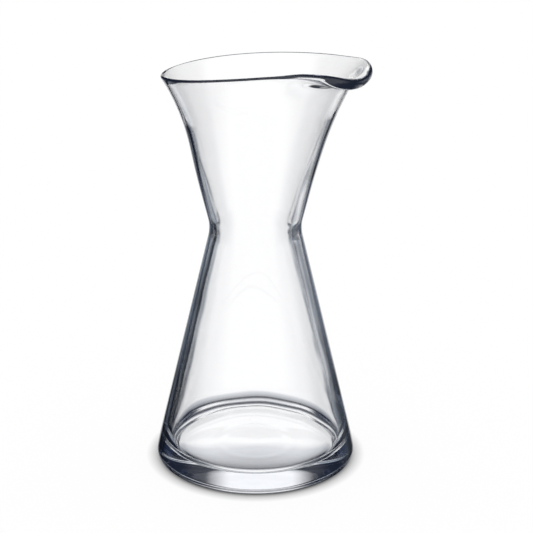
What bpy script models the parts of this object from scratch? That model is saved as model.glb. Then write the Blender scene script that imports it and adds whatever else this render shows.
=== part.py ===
# Quartino carafe: one piece of clear glass, metres, +Z up.
# A thick foot carries a straight cone up to a narrow waist, and the neck opens from there to a
# flared mouth. The rim climbs towards the pouring lip, which is pulled out of it on the +X side.
import math

import bmesh
import bpy
from mathutils import Matrix, Vector

# Foot
FOOT_RADIUS = 0.0405  # where the line of the side meets the table
FOOT_CORNER = 0.0030  # rounding between the side and the underside
BEARING_WIDTH = 0.0069  # flat ring that stands on the table
PUSH_UP = 0.0005  # how far the underside's middle stands clear of the table
FLOOR_HEIGHT = 0.0058  # inside floor over the table
FLOOR_CORNER = 0.0043  # rounding between the floor and the inner wall

# Body
WAIST_HEIGHT = 0.0952
WAIST_RADIUS = 0.0174  # where the lines of the two cones cross
WAIST_ROUNDING = 0.0134
INNER_WAIST_ROUNDING = 0.0200
FOOT_WALL = 0.0046  # glass at the floor, at the waist and at the rim
WAIST_WALL = 0.0036
RIM_WALL = 0.0013
WALL_SHIFT = 0.0006  # at the waist the inside lies this far off the axis, away from the lip

# Neck and mouth
FLARE_HEIGHT = 0.1253  # the straight neck ends here and the flare starts
FLARE_RADIUS = 0.0250
RIM_HEIGHT = 0.1563  # middle height of the rim's outer edge
RIM_RADIUS = 0.0375
FLARE_POWER = 2.27  # how suddenly the flare opens
LEAN_START = 0.1100  # above this height the mouth leans towards the lip
MOUTH_LEAN = 0.0028
RIM_CLIMB = 0.0026  # rise of the rim over its middle height on the lip's side
RIM_TWIST = 0.0007  # unevenness that lifts one shoulder of the lip over the other

# Pouring lip
LIP_REACH = 0.0026  # how far the rim is pulled outwards
LIP_DIP = 0.0050  # how far the channel sinks below the rim
LIP_DEPTH = 0.0084  # how far down the wall the pull is felt
LIP_SPREAD = math.radians(60)  # half the angle that the pull takes up
CHANNEL_SPREAD = math.radians(42.5)  # half the angle of the channel
REACH_BEND = 1.46  # how sharply the wall turns out
DIP_BEND = 2.3  # how sharply it turns down
LIP_ROLL = 0.0018  # how much deeper the channel lies on the -Y side than on the +Y side
LIP_WALL = 0.0041  # glass at the lip's edge, which is swollen
LIP_BEAD = 1.57  # how much higher the edge is rounded there than round the rim
SWELL_FULL = math.radians(16)  # half the angle of the full swelling
SWELL_END = math.radians(51)  # half the angle where it runs out
SWELL_DEPTH = 0.0052  # how far down the wall it runs
SWELL_OUTWARD = 0.50  # share of the swelling that stands on the outer face

# Facets
SECTORS = 72
GATHER = 0.40  # sectors are drawn together round the lip
ARC_STEPS = 5
DOME_STEPS = 3
NECK_STEPS = 13
NECK_GRADING = 1.8  # rows of the neck are drawn together towards the rim


def smooth_step(share):
    """Rise from 0 to 1 that starts and ends gently."""
    share = min(max(share, 0), 1)
    return share * share * (3 - 2 * share)


def fillet(before, corner, after, radius):
    """Points of the arc that rounds one corner of an outline."""
    to_before = (before - corner).normalized()
    to_after = (after - corner).normalized()
    half = to_before.angle(to_after) / 2
    centre = corner + (to_before + to_after).normalized() * (radius / math.sin(half))
    start = corner + to_before * (radius / math.tan(half)) - centre
    end = corner + to_after * (radius / math.tan(half)) - centre
    turn = start.angle_signed(end)
    steps = [k / ARC_STEPS for k in range(ARC_STEPS + 1)]
    return [centre + Matrix.Rotation(-turn * share, 2) @ start for share in steps]


def neck_radius(height):
    """Outer radius of the neck before the mouth leans and the lip is pulled."""
    slope = (FLARE_RADIUS - WAIST_RADIUS) / (FLARE_HEIGHT - WAIST_HEIGHT)
    straight = WAIST_RADIUS + slope * (height - WAIST_HEIGHT)
    straight_rim = WAIST_RADIUS + slope * (RIM_HEIGHT - WAIST_HEIGHT)
    share = max(height - FLARE_HEIGHT, 0) / (RIM_HEIGHT - FLARE_HEIGHT)
    return straight + (RIM_RADIUS - straight_rim) * share**FLARE_POWER


def neck_wall(drop):
    """Glass thickness of the neck, which thins from the waist up to the rim."""
    return RIM_WALL + (WAIST_WALL - RIM_WALL) * drop / (RIM_HEIGHT - WAIST_HEIGHT)


def mouth_face(angle, drop):
    """Point of the outer face at an angle from the lip and a drop below the rim."""
    height = RIM_HEIGHT - drop
    lean = smooth_step((height - LEAN_START) / (RIM_HEIGHT - LEAN_START))
    pull = max(1 - drop / LIP_DEPTH, 0)
    reach = LIP_REACH * pull**REACH_BEND * max(1 - (angle / LIP_SPREAD) ** 4, 0) ** 2
    channel = pull**DIP_BEND * max(1 - (angle / CHANNEL_SPREAD) ** 2, 0) ** 2
    dip = channel * (LIP_DIP - LIP_ROLL * math.sin(2 * angle))
    climb = RIM_CLIMB * math.cos(angle) - RIM_TWIST * math.sin(2 * angle)
    radius = neck_radius(height) + lean * MOUTH_LEAN * math.cos(angle) + reach
    return Vector((radius * math.cos(angle), radius * math.sin(angle), height + lean * climb - dip))


def mouth_point(angle, drop, depth):
    """Point of the neck's wall, a depth behind its outer face, square to that face."""
    step = 1e-4
    below = max(drop, 0)
    face = mouth_face(angle, below)
    upward = (face - mouth_face(angle, below + step)).normalized()
    around = mouth_face(angle + step, below) - mouth_face(angle - step, below)
    outward = around.cross(upward).normalized()
    thick = smooth_step((SWELL_END - abs(angle)) / (SWELL_END - SWELL_FULL))
    swell = (LIP_WALL / RIM_WALL - 1) * thick * smooth_step(1 - below / SWELL_DEPTH)
    inward = depth * (1 + swell) - neck_wall(below) * swell * SWELL_OUTWARD
    bead = 1 + (LIP_BEAD - 1) * thick
    return face - outward * inward + upward * (below - drop) * bead


def inside_shift(height):
    """How far the inside lies off the axis at a height."""
    reach = WAIST_HEIGHT if height < WAIST_HEIGHT else RIM_HEIGHT - WAIST_HEIGHT
    return WALL_SHIFT * smooth_step(1 - abs(height - WAIST_HEIGHT) / reach)


def body_outline(waist, floor_edge):
    """Half section of the foot and body below the neck: outer side, then inner side."""
    foot = Vector((FOOT_RADIUS, 0))
    corner = fillet(Vector((0, 0)), foot, waist, FOOT_CORNER)
    dome_radius = corner[0].x - BEARING_WIDTH
    dome = [k / DOME_STEPS for k in range(DOME_STEPS + 1)]
    outer = [Vector((dome_radius * share, PUSH_UP * (1 - share**2) ** 2)) for share in dome]
    flare = Vector((FLARE_RADIUS, FLARE_HEIGHT))
    outer += corner + fillet(foot, waist, flare, WAIST_ROUNDING)

    inset = Vector((WAIST_WALL * (flare - waist).length / (FLARE_HEIGHT - WAIST_HEIGHT), 0))
    inner = fillet(flare - inset, waist - inset, floor_edge, INNER_WAIST_ROUNDING)
    inner += fillet(waist - inset, floor_edge, Vector((0, FLOOR_HEIGHT)), FLOOR_CORNER)
    inner.append(Vector((0, FLOOR_HEIGHT)))
    return outer, inner


def neck_rows(neck_drop):
    """Drop and depth of each row of the neck: up its outer face, over the rim, down inside."""
    drops = [neck_drop * (1 - k / NECK_STEPS) ** NECK_GRADING for k in range(1, NECK_STEPS + 1)]
    bead = RIM_WALL / 2
    turns = [math.pi * k / ARC_STEPS for k in range(1, ARC_STEPS)]
    rows = [(drop, 0) for drop in drops]
    rows += [(-bead * math.sin(turn), bead * (1 - math.cos(turn))) for turn in turns]
    rows += [(drop, neck_wall(drop)) for drop in reversed(drops)]
    return rows


def make_carafe():
    """Spin the half section round the axis, then pull the mouth and its lip into shape."""
    waist = Vector((WAIST_RADIUS, WAIST_HEIGHT))
    side_slope = (FOOT_RADIUS - WAIST_RADIUS) / WAIST_HEIGHT
    floor_edge = Vector((FOOT_RADIUS - side_slope * FLOOR_HEIGHT - FOOT_WALL, FLOOR_HEIGHT))
    outer, inner = body_outline(waist, floor_edge)
    neck = neck_rows(RIM_HEIGHT - outer[-1].y)

    bm = bmesh.new()
    in_neck = bm.verts.layers.int.new("in_neck")
    drop_layer = bm.verts.layers.float.new("drop")
    depth_layer = bm.verts.layers.float.new("depth")
    inside_layer = bm.verts.layers.float.new("inside")
    section = [bm.verts.new((point.x, 0, point.y)) for point in outer]
    for drop, depth in neck:
        vert = bm.verts.new((neck_radius(RIM_HEIGHT - drop) - depth, 0, RIM_HEIGHT - drop))
        vert[in_neck] = 1
        vert[drop_layer] = drop
        vert[depth_layer] = depth
        vert[inside_layer] = depth / neck_wall(max(drop, 0))
        section.append(vert)
    for point in inner:
        vert = bm.verts.new((point.x, 0, point.y))
        vert[inside_layer] = 1
        section.append(vert)
    edges = [bm.edges.new(pair) for pair in zip(section, section[1:])]
    bmesh.ops.spin(
        bm,
        geom=section + edges,
        cent=(0, 0, 0),
        axis=(0, 0, 1),
        angle=math.tau,
        steps=SECTORS,
        use_merge=True,
    )
    for vert in bm.verts:
        radius = math.hypot(vert.co.x, vert.co.y)
        spun = math.atan2(vert.co.y, vert.co.x)
        angle = spun - GATHER * math.sin(spun)
        if vert[in_neck]:
            vert.co = mouth_point(angle, vert[drop_layer], vert[depth_layer])
        else:
            vert.co = Vector((radius * math.cos(angle), radius * math.sin(angle), vert.co.z))
        vert.co.x -= vert[inside_layer] * inside_shift(vert.co.z)
    bmesh.ops.remove_doubles(bm, verts=bm.verts, dist=1e-6)
    bmesh.ops.recalc_face_normals(bm, faces=bm.faces)

    # The origin lies on the table under the middle of the outline, lip included.
    across = [vert.co.x for vert in bm.verts]
    bmesh.ops.translate(bm, verts=bm.verts, vec=(-(min(across) + max(across)) / 2, 0, 0))
    mesh = bpy.data.meshes.new("glass_carafe")
    bm.to_mesh(mesh)
    bm.free()
    mesh.shade_smooth()
    carafe = bpy.data.objects.new("glass_carafe", mesh)
    bpy.context.collection.objects.link(carafe)
    return carafe


def clear_glass():
    """Clear soda-lime glass with a faint cool cast."""
    glass = bpy.data.materials.new("clear_glass")
    glass.use_nodes = True
    shader = glass.node_tree.nodes["Principled BSDF"]
    shader.inputs["Base Color"].default_value = (0.93, 0.96, 0.98, 1)
    shader.inputs["Metallic"].default_value = 0
    shader.inputs["Roughness"].default_value = 0.02
    shader.inputs["IOR"].default_value = 1.52
    shader.inputs["Transmission Weight"].default_value = 1
    return glass


for old in list(bpy.data.objects):
    bpy.data.objects.remove(old)
make_carafe().data.materials.append(clear_glass())
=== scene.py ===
import math

import bmesh
import bpy
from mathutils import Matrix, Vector, noise


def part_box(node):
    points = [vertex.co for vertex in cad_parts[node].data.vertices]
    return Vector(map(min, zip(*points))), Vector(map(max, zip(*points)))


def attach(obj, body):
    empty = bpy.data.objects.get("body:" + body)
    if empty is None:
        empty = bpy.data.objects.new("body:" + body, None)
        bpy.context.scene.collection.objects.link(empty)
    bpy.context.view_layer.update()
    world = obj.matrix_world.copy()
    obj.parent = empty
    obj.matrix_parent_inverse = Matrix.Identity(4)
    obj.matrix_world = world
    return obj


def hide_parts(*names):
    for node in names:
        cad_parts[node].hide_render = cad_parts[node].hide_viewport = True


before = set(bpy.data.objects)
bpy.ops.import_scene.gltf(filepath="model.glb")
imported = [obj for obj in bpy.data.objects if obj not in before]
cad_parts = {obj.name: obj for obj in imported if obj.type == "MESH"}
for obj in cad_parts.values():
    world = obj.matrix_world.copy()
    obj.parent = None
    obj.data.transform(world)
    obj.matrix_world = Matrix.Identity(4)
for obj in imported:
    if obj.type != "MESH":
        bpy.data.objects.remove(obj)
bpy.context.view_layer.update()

tiny = 1e-6  # metres, closer than this counts as the same place


def hexColour(text):  # sRGB hex to linear
    parts = [int(text[i:i + 2], 16) / 255 for i in (1, 3, 5)]
    return tuple(p / 12.92 if p <= 0.04045 else ((p + 0.055) / 1.055) ** 2.4 for p in parts) + (1.0,)


def addNode(tree, kind, settings=None, links=None):  # settings go to sockets, else to properties
    node = tree.nodes.new(kind)
    for name, value in (settings or {}).items():
        if isinstance(name, int) or name in node.inputs:
            node.inputs[name].default_value = value
        else:
            setattr(node, name, value)
    for name, source in (links or {}).items():
        tree.links.new(source, node.inputs[name])
    return node


def newMaterial(name):
    material = bpy.data.materials.new(name)
    material.use_nodes = True
    material.node_tree.nodes.clear()
    return material, material.node_tree


def meshObject(name, bm, material):
    mesh = bpy.data.meshes.new(name)
    bm.to_mesh(mesh)
    bm.free()
    mesh.materials.append(material)
    mesh.shade_smooth()
    made = bpy.data.objects.new(name, mesh)
    bpy.context.collection.objects.link(made)
    return made


carafe = {
    "footRadius": 0.0408,  # where the line of the side meets the table
    "footCorner": 0.0030,
    "bearingWidth": 0.0077,  # flat ring that stands on the table
    "pushUp": 0.0005,  # underside over the table, inside that ring
    "pushPower": 1.76,
    "floorHeight": 0.0058,
    "floorCorner": 0.0028,
    "floorRise": -0.0002,  # the floor is a little lower in its middle
    "sweep": 0.0014,  # the inner wall bends in towards the floor
    "sweepHeight": 0.010,
    "sweepPower": 3,
    "waistHeight": 0.0952,
    "waistRadius": 0.01745,  # where the lines of the two cones cross
    "waistRounding": 0.0134,
    "waistRoundingInside": 0.0200,
    "footWall": 0.0043,  # glass at the floor, at the waist and at the rim
    "waistWall": 0.0036,
    "rimWall": 0.0013,
    "wallShift": 0.0004,  # the inside lies a little away from the lip's side
    "wave": 0.00012,  # the inner face was never on a mould and is a little uneven
    "waveLength": 0.014,
    "waveFade": 0.010,  # it settles towards the floor and the rim
    "neckStart": 0.1060,  # above this the wall takes the flared neck's shape
    "flareHeight": 0.1253,  # the straight neck ends here
    "flareRadius": 0.0250,
    "flarePower": 2.27,
    "rimHeight": 0.1563,
    "rimRadius": 0.0375,
    "leanStart": 0.1100,  # above this the mouth leans towards the lip
    "mouthLean": 0.0028,
    "rimClimb": 0.0026,  # the rim climbs towards the lip
    "rimTwist": 0.0007,  # and one shoulder of the lip stands over the other
    "lipReach": 0.00255,  # how far the rim is pulled out
    "lipBend": 1.46,
    "lipDepth": 0.00835,  # how far down the wall the pull is felt
    "lipSpread": math.radians(59.9),
    "lipDip": 0.00505,  # how far the channel sinks
    "dipBend": 2.3,
    "lipRoll": 0.00175,  # the channel is deeper on one side
    "channelSpread": math.radians(43.7),
    "channelPower": 2.24,
    "lipWall": 0.0041,  # the pulled edge is thick
    "lipBead": 1.57,  # and its bead stands further out
    "thickFull": math.radians(15.7),
    "thickEnd": math.radians(50.9),
    "thickTurn": -0.043,  # radians to one side of the lip
    "thickDepth": 0.0052,
    "thickOut": 0.5,  # share of the swelling on the outer face
    "sectors": 256,
    "gather": 0.40,  # sectors are drawn together round the lip
    "rowHeight": 0.0016,
    "fineRow": 0.0005,  # rows round the ring under the floor
    "outerSteps": 8,  # rows in the roundings outside, inside and on the bead
    "innerSteps": 10,
    "beadSteps": 5,
    "beadShare": 0.998,  # the bead's two roundings just stay apart
}

mouldRing = {  # plain low ring that the mould leaves under the floor
    "radius": 0.0150,
    "height": 0.00002,
    "width": 0.0030,
}

# slopes and radii that follow from those sizes
sideSlope = (carafe["footRadius"] - carafe["waistRadius"]) / carafe["waistHeight"]
neckSlope = (carafe["flareRadius"] - carafe["waistRadius"]) / (carafe["flareHeight"] - carafe["waistHeight"])
neckLength = math.hypot(1, neckSlope)  # along the neck's side, for each metre of height
straightRim = carafe["waistRadius"] + neckSlope * (carafe["rimHeight"] - carafe["waistHeight"])
floorRadius = carafe["footRadius"] - sideSlope * carafe["floorHeight"] - carafe["footWall"]
bearingRadius = carafe["footRadius"] - carafe["footCorner"] - carafe["bearingWidth"]


def smoothStep(share):
    share = min(max(share, 0), 1)
    return share * share * (3 - 2 * share)


def neckRadius(height):  # outer face, before the mouth leans and the lip is pulled
    c = carafe
    straight = c["waistRadius"] + neckSlope * (height - c["waistHeight"])
    share = max(height - c["flareHeight"], 0) / (c["rimHeight"] - c["flareHeight"])
    return straight + (c["rimRadius"] - straightRim) * share ** c["flarePower"]


def mouthFace(angle, drop):  # outer face at an angle from the lip and a drop below the rim
    c = carafe
    height = c["rimHeight"] - drop
    lean = smoothStep((height - c["leanStart"]) / (c["rimHeight"] - c["leanStart"]))
    pull = max(1 - drop / c["lipDepth"], 0)
    reach = c["lipReach"] * pull ** c["lipBend"] * max(1 - (angle / c["lipSpread"]) ** 4, 0) ** 2
    channel = pull ** c["dipBend"] * max(1 - (angle / c["channelSpread"]) ** 2, 0) ** c["channelPower"]
    dip = channel * (c["lipDip"] - c["lipRoll"] * math.sin(2 * angle))
    climb = c["rimClimb"] * math.cos(angle) - c["rimTwist"] * math.sin(2 * angle)
    radius = neckRadius(height) + lean * c["mouthLean"] * math.cos(angle) + reach
    return Vector((radius * math.cos(angle), radius * math.sin(angle), height + lean * climb - dip))


def thickness(angle):  # share of the lip's swelling at an angle
    c = carafe
    return smoothStep((c["thickEnd"] - abs(angle - c["thickTurn"])) / (c["thickEnd"] - c["thickFull"]))


def mouthPoint(angle, drop, depth):  # point in the neck's wall, a depth behind its outer face
    c = carafe
    step = 1e-4
    below = max(drop, 0)
    face = mouthFace(angle, below)
    upward = (face - mouthFace(angle, below + step)).normalized()
    around = mouthFace(angle + step, below) - mouthFace(angle - step, below)
    outward = around.cross(upward).normalized()
    thick = thickness(angle)
    swell = (c["lipWall"] / c["rimWall"] - 1) * thick * smoothStep(1 - below / c["thickDepth"])
    bead = 1 + (c["lipBead"] - 1) * thick
    wall = c["rimWall"] + (c["waistWall"] - c["rimWall"]) * below / (c["rimHeight"] - c["waistHeight"])
    inward = depth * (1 + swell) - wall * swell * c["thickOut"]
    return face - outward * inward + upward * (below - drop) * bead


def neckPlace(radius, height):  # drop and depth of a point of the straight wall
    c = carafe
    side = radius - c["waistRadius"]
    rise = height - c["waistHeight"]
    along = (side * neckSlope + rise) / neckLength
    depth = (rise * neckSlope - side) / neckLength
    return c["rimHeight"] - c["waistHeight"] - along / neckLength, depth


def underside(radius):  # height over the table
    c = carafe
    height = c["pushUp"] * max(1 - (radius / bearingRadius) ** c["pushPower"], 0) ** 2
    share = (radius - mouldRing["radius"]) / mouldRing["width"]
    return height + mouldRing["height"] * max(1 - share ** 2, 0) ** 2


def bodyPoint(angle, radius, height, inside):  # foot and body, with underside, floor and sweep
    c = carafe
    formed = height
    if height < tiny and radius < bearingRadius:
        formed = underside(radius)
    if inside:
        if height < c["floorHeight"] + tiny:
            formed += c["floorRise"] * max(1 - (radius / floorRadius) ** 2, 0)
        above = max(1 - (height - c["floorHeight"]) / c["sweepHeight"], 0)
        radius -= c["sweep"] * min(above, 1) ** c["sweepPower"] * min(radius / floorRadius, 1)
    return Vector((radius * math.cos(angle), radius * math.sin(angle), formed))


def innerFace(place, angle, height):  # off the axis at the waist, and a little uneven
    c = carafe
    reach = c["waistHeight"] if height < c["waistHeight"] else c["rimHeight"] - c["waistHeight"]
    off = c["wallShift"] * smoothStep(1 - abs(height - c["waistHeight"]) / reach)
    place = place - Vector((off, 0, 0))
    low = (place.z - c["floorHeight"] - c["waveFade"]) / c["waveFade"]
    high = (c["rimHeight"] - c["waveFade"] - place.z) / c["waveFade"]
    uneven = c["wave"] * noise.noise(place / c["waveLength"]) * smoothStep(low) * smoothStep(high)
    return place + uneven * Vector((math.cos(angle), math.sin(angle), 0))


def roundCorner(bm, vert, radius, steps):
    one, two = [edge.other_vert(vert).co - vert.co for edge in vert.link_edges]
    bmesh.ops.bevel(bm, geom=[vert], offset=radius / math.tan(one.angle(two) / 2), offset_type="OFFSET",
                    segments=steps, profile=0.5, affect="VERTICES", material=-1)


def drawSection(bm):  # half section, from under the floor's middle round to its top
    c = carafe
    middle = mouldRing["radius"] + mouldRing["width"]
    bead = c["rimWall"] / 2
    rimRadius = straightRim + bead * neckSlope / neckLength  # the straight wall runs on to carry the bead
    rimHeight = c["rimHeight"] + bead / neckLength
    outline = {  # radius and height of its sharp corners
        "punt": (0, 0),
        "middle": (middle, 0),
        "bearing": (bearingRadius, 0),
        "foot": (c["footRadius"], 0),
        "waist": (c["waistRadius"], c["waistHeight"]),
        "rim": (rimRadius, rimHeight),
        "rimInside": (rimRadius - c["rimWall"] / neckLength,
                      rimHeight + c["rimWall"] * neckSlope / neckLength),
        "waistInside": (c["waistRadius"] - c["waistWall"] * neckLength, c["waistHeight"]),
        "floorEdge": (floorRadius, c["floorHeight"]),
        "floor": (0, c["floorHeight"]),
    }
    points = {name: bm.verts.new((radius, 0, height)) for name, (radius, height) in outline.items()}
    chain = list(points.values())
    for pair in zip(chain, chain[1:]):
        bm.edges.new(pair)
    corners = [
        ("foot", c["footCorner"], c["outerSteps"]),
        ("waist", c["waistRounding"], c["outerSteps"]),
        ("waistInside", c["waistRoundingInside"], c["innerSteps"]),
        ("floorEdge", c["floorCorner"], c["innerSteps"]),
        ("rim", bead * c["beadShare"], c["beadSteps"]),
        ("rimInside", bead * c["beadShare"], c["beadSteps"]),
    ]
    for name, radius, steps in corners:
        roundCorner(bm, points[name], radius, steps)
    for edge in list(bm.edges):
        nearRing = all(vert.co.z < tiny and vert.co.x < middle + tiny for vert in edge.verts)
        cuts = int(edge.calc_length() / c["fineRow" if nearRing else "rowHeight"])
        if cuts:
            bmesh.ops.subdivide_edges(bm, edges=[edge], cuts=cuts)


def buildCarafe(material):
    c = carafe
    bm = bmesh.new()
    drawSection(bm)
    bmesh.ops.spin(bm, geom=bm.verts[:] + bm.edges[:], cent=(0, 0, 0), axis=(0, 0, 1), angle=math.tau,
                   steps=c["sectors"], use_merge=True)
    paintedEdgeMask = bm.verts.layers.float.new("paintedEdgeMask")  # 1 where the painted edge shade may darken the glass as its outer face turns away
    for vert in bm.verts:
        radius = math.hypot(vert.co.x, vert.co.y)
        spun = math.atan2(vert.co.y, vert.co.x)
        angle = spun - c["gather"] * math.sin(spun)
        height = vert.co.z
        outside = c["footRadius"] - sideSlope * height if height < c["waistHeight"] else neckRadius(height)
        inside = height > c["floorHeight"] / 2 and outside - radius > c["rimWall"] / 2
        vert[paintedEdgeMask] = 0 if inside or height < tiny else 1
        if height > c["neckStart"]:
            drop, depth = neckPlace(radius, height)
            vert.co = mouthPoint(angle, drop, depth)
            if drop < c["rimWall"]:
                vert[paintedEdgeMask] *= thickness(angle)  # the thin rim stays clear of the painted edge shade
        else:
            vert.co = bodyPoint(angle, radius, height, inside)
            height = vert.co.z
        if inside:
            vert.co = innerFace(vert.co, angle, height)
    bmesh.ops.remove_doubles(bm, verts=bm.verts, dist=tiny)
    bmesh.ops.recalc_face_normals(bm, faces=bm.faces)
    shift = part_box("glass_carafe")[1].x - max(vert.co.x for vert in bm.verts)  # the lip sets the place
    bmesh.ops.translate(bm, verts=bm.verts, vec=(shift, 0, 0))
    piece = meshObject("carafeGlass", bm, material)
    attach(piece, "root")
    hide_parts("glass_carafe")
    return piece, shift


glassFinish = {
    "ior": 1.52,
    "paintedEdgeStart": 0.50,  # how far the outer face turns away before the painted edge shade starts
    "paintedEdgeFull": 0.66,
    # colour of the painted shade on the turned-away edge
    "paintedEdgeColour": "#141a26",
    "swirlSize": 0.0143,  # across one soft swirl of the surface
    "swirlDepth": 0.0001,
    "swirlStrength": 0.1,
    "depthColour": "#b4caf0",  # cast of thick glass
    "depthDensity": 1.5,
    "paintedGlowColour": "#adc2ff",  # painted glow: a faint blue light that the glass gives off all over
    "paintedGlow": 0.003,
}


def sodaLimeGlass():
    # blown and fire-polished soda-lime glass: water clear with a soft swirl, painted dark where its
    # outer face turns away, faintly blue where it is thick, and with a faint painted blue glow all over
    f = glassFinish
    material, tree = newMaterial("sodaLimeGlassBlown")
    # painted edge shade: the colour turns dark navy where the outer face turns away from the view
    turned = addNode(tree, "ShaderNodeLayerWeight", {"Blend": 0.5})
    paintedEdgeShade = addNode(tree, "ShaderNodeValToRGB", links={"Fac": turned.outputs["Facing"]})
    clearEnd, paintedEdgeEnd = paintedEdgeShade.color_ramp.elements
    clearEnd.position = f["paintedEdgeStart"]
    clearEnd.color = hexColour("#ffffff")
    paintedEdgeEnd.position = f["paintedEdgeFull"]
    paintedEdgeEnd.color = hexColour(f["paintedEdgeColour"])
    outer = addNode(tree, "ShaderNodeAttribute", {"attribute_name": "paintedEdgeMask"})
    colour = addNode(tree, "ShaderNodeMix", {"data_type": "RGBA", 6: hexColour("#ffffff")},
                     {0: outer.outputs["Fac"], 7: paintedEdgeShade.outputs["Color"]})
    place = addNode(tree, "ShaderNodeTexCoord")
    swirl = addNode(tree, "ShaderNodeTexNoise", {"Scale": 1 / f["swirlSize"], "Detail": 1.0},
                    {"Vector": place.outputs["Object"]})
    bump = addNode(tree, "ShaderNodeBump", {"Strength": f["swirlStrength"], "Distance": f["swirlDepth"]},
                   {"Height": swirl.outputs["Fac"]})
    shader = addNode(tree, "ShaderNodeBsdfPrincipled", {
        "Roughness": 0.0,
        "IOR": f["ior"],
        "Transmission Weight": 1.0,
        # painted glow: a faint blue emission all over the glass
        "Emission Color": hexColour(f["paintedGlowColour"]),
        "Emission Strength": f["paintedGlow"],
    }, {"Base Color": colour.outputs[2], "Normal": bump.outputs["Normal"]})
    body = addNode(tree, "ShaderNodeVolumeAbsorption", {
        "Color": hexColour(f["depthColour"]),
        "Density": f["depthDensity"],
    })
    addNode(tree, "ShaderNodeOutputMaterial",
            links={"Surface": shader.outputs["BSDF"], "Volume": body.outputs["Volume"]})
    return material


glass, axisX = buildCarafe(sodaLimeGlass())
print("carafe glass:", len(glass.data.polygons), "faces, axis at", round(axisX * 1000, 2), "mm")

studio = {
    "floorSize": 12.0,
    "floorShare": 0.93,  # how much of the floor's white is its own for the camera
    "contact": 0.005,  # reach of the painted shade where the foot meets the floor
    "contactSamples": 16,
    "tentRadius": 2.0,
    "tentSegments": 64,
}

tentCloth = {
    "white": "#ffffff",
    "pale": "#d0d3d8",
    "silver": "#a8b2bc",
    "grey": "#868e98",
    "slate": "#525860",
    "charcoal": "#24272d",
    "navy": "#131a2a",
    "blue": "#22304a",
    "black": "#0d121d",
}

# rings of the tent, from the lowest up: where one starts and is full, in degrees up,
# and its cloths by degrees from straight behind, left is minus
tentRings = [
    (-90, -89, [(-60, "pale"), (60, "pale")]),
    (-60, -45, [(-60, "navy"), (60, "navy")]),
    (-37, -28, [(-60, "navy"), (-45, "silver"), (-25, "pale"), (45, "pale"), (60, "navy")]),
    (-27.5, -25.6, [(-70, "navy"), (-48, "grey"), (-34, "pale"), (-17, "white"),
                    (40, "white"), (55, "silver"), (75, "navy")]),
    (-21.5, -19.5, [(-75, "navy"), (-45, "black"), (-26, "charcoal"), (-22, "slate"), (-18, "white"),
                    (20, "white"), (24, "slate"), (45, "slate"), (75, "navy")]),
    (-17.5, -15.5, [(-75, "navy"), (-45, "charcoal"), (-30, "grey"), (-23, "grey"), (-18, "white"),
                    (22, "white"), (27, "grey"), (30, "slate"), (36, "slate"), (48, "grey"), (75, "navy")]),
    (-12.5, -10.5, [(-75, "navy"), (-45, "charcoal"), (-30, "silver"), (-24, "silver"), (-19, "white"),
                    (20, "white"), (26, "pale"), (34, "grey"), (40, "grey"), (48, "pale"), (75, "navy")]),
    (-8, 1, [(-75, "charcoal"), (-20, "navy"), (-13, "white"),
             (11, "white"), (18, "navy"), (75, "charcoal")]),
    (9, 12, [(-80, "black"), (80, "black")]),
    (20, 22, [(-85, "black"), (-54, "blue"), (-44, "black"), (-24, "black"), (-13, "white"),
              (9, "white"), (20, "black"), (44, "black"), (54, "blue"), (85, "black")]),
    (42, 54, [(-60, "slate"), (60, "slate")]),
]
tentFront = {  # every ring turns white on the camera's side, the upper ones sooner
    "lower": [(98, "slate"), (126, "white")],
    "upper": [(86.5, "slate"), (100, "white")],
}


def buildFloor():
    # matt paper: white of its own for the camera, with a soft shade round the foot that is painted
    # by occlusion into that white, plus a little real shadow in its lit share
    material, tree = newMaterial("mattWhitePaper")
    paper = addNode(tree, "ShaderNodeBsdfDiffuse", {"Color": hexColour("#ffffff")})
    # painted contact shade: occlusion darkens the floor's own white near the foot
    paintedContactShade = addNode(tree, "ShaderNodeAmbientOcclusion", {
        "Distance": studio["contact"],
        "samples": studio["contactSamples"],
    })
    glow = addNode(tree, "ShaderNodeEmission", {"Strength": 1.0}, {"Color": paintedContactShade.outputs["Color"]})
    path = addNode(tree, "ShaderNodeLightPath")
    share = addNode(tree, "ShaderNodeMath", {"operation": "MULTIPLY", 1: studio["floorShare"]},
                    {0: path.outputs["Is Camera Ray"]})
    mix = addNode(tree, "ShaderNodeMixShader",
                  links={0: share.outputs[0], 1: paper.outputs[0], 2: glow.outputs[0]})
    addNode(tree, "ShaderNodeOutputMaterial", links={"Surface": mix.outputs[0]})
    bm = bmesh.new()
    bmesh.ops.create_grid(bm, x_segments=1, y_segments=1, size=studio["floorSize"] / 2)
    floor = meshObject("floor", bm, material)
    floor.visible_transmission = False  # the glass sees the tent instead
    floor.visible_glossy = False


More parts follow.
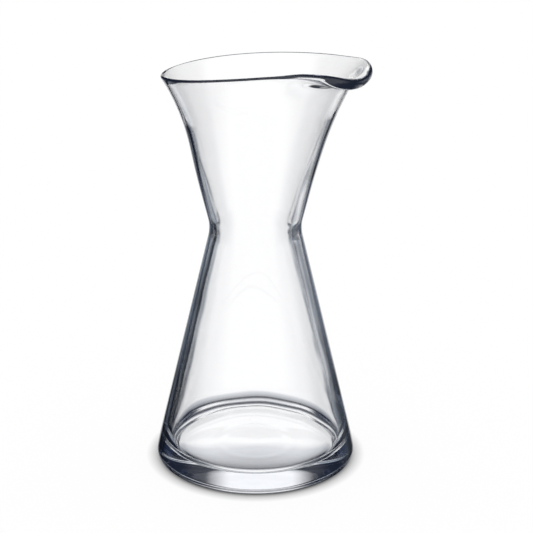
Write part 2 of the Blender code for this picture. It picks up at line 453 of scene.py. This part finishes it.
def buildTent():
    # cloth tent that only the glass sees: white behind and in front, dark at the sides, grey overhead
    material, tree = newMaterial("studioTent")
    radius = studio["tentRadius"]
    place = addNode(tree, "ShaderNodeTexCoord")
    axes = addNode(tree, "ShaderNodeSeparateXYZ", links={0: place.outputs["Object"]})
    turn = addNode(tree, "ShaderNodeMath", {"operation": "ARCTAN2"},
                   {0: axes.outputs["X"], 1: axes.outputs["Y"]})
    share = addNode(tree, "ShaderNodeMapRange", {"From Min": -math.pi, "From Max": math.pi},
                    {"Value": turn.outputs[0]})
    colour = None
    for start, full, back in tentRings:
        front = tentFront["upper" if full > 0 else "lower"]
        stops = [(-degrees, cloth) for degrees, cloth in reversed(front)] + back + front
        ramp = addNode(tree, "ShaderNodeValToRGB", links={"Fac": share.outputs[0]})
        elements = ramp.color_ramp.elements
        while len(elements) < len(stops):
            elements.new(0.5)
        for element, (degrees, cloth) in zip(elements, stops):
            element.position = (degrees + 180) / 360
            element.color = hexColour(tentCloth[cloth])
        lower, upper = [math.sin(math.radians(degrees)) * radius for degrees in (start, full)]
        rise = addNode(tree, "ShaderNodeMapRange", {"From Min": lower, "From Max": upper},
                       {"Value": axes.outputs["Z"]})
        mix = addNode(tree, "ShaderNodeMix", {"data_type": "RGBA"}, {0: rise.outputs[0], 7: ramp.outputs[0]})
        if colour:
            tree.links.new(colour, mix.inputs[6])
        colour = mix.outputs[2]
    glow = addNode(tree, "ShaderNodeEmission", {"Strength": 1.0}, {"Color": colour})
    addNode(tree, "ShaderNodeOutputMaterial", links={"Surface": glow.outputs[0]})
    material.cycles.emission_sampling = "NONE"
    bm = bmesh.new()
    bmesh.ops.create_uvsphere(bm, u_segments=studio["tentSegments"], v_segments=studio["tentSegments"] // 2,
                              radius=radius)
    tent = meshObject("tent", bm, material)
    tent.visible_camera = False
    tent.visible_diffuse = False
    tent.visible_shadow = False
    return tent


buildFloor()
world = bpy.data.worlds.new("whiteRoom")
bpy.context.scene.world = world
world.use_nodes = True
room = world.node_tree.nodes["Background"]
room.inputs["Color"].default_value = hexColour("#ffffff")
room.inputs["Strength"].default_value = 1.0
print("white floor and room")

view = {
    "imageWidth": 533,  # pixels, as are the next two
    "focal": 1300,
    "shift": 11,  # the carafe stands a little left of the middle
    "sensor": 36.0,  # millimetres
    "azimuth": 29.0,
    "distance": 0.482,
    "height": 0.2348,
    "pitch": 17.94,
}
cameraData = bpy.data.cameras.new("camera")
cameraData.sensor_width = view["sensor"]
cameraData.lens = view["sensor"] * view["focal"] / view["imageWidth"]
cameraData.shift_x = view["shift"] / view["imageWidth"]
camera = bpy.data.objects.new("camera", cameraData)
bpy.context.collection.objects.link(camera)
azimuth = math.radians(view["azimuth"])
camera.location = (
    axisX + math.sin(azimuth) * view["distance"],
    -math.cos(azimuth) * view["distance"],
    view["height"],
)
camera.rotation_euler = (math.radians(90 - view["pitch"]), 0, azimuth)
bpy.context.scene.camera = camera
print("camera:", round(cameraData.lens, 1), "mm lens")

tent = buildTent()  # turns with the camera about the carafe's axis
tent.location = (axisX, 0, 0)
track = tent.constraints.new("LOCKED_TRACK")
track.target = camera
track.track_axis = "TRACK_NEGATIVE_Y"
track.lock_axis = "LOCK_Z"
print("tent:", len(tentRings), "rings of cloth")

lightTurns = 8  # light that turns more often in the glass is lost, so the foot's sides stay dark
scene = bpy.context.scene
scene.view_settings.view_transform = "Standard"
scene.cycles.max_bounces = lightTurns
scene.cycles.transmission_bounces = lightTurns
scene.cycles.glossy_bounces = lightTurns
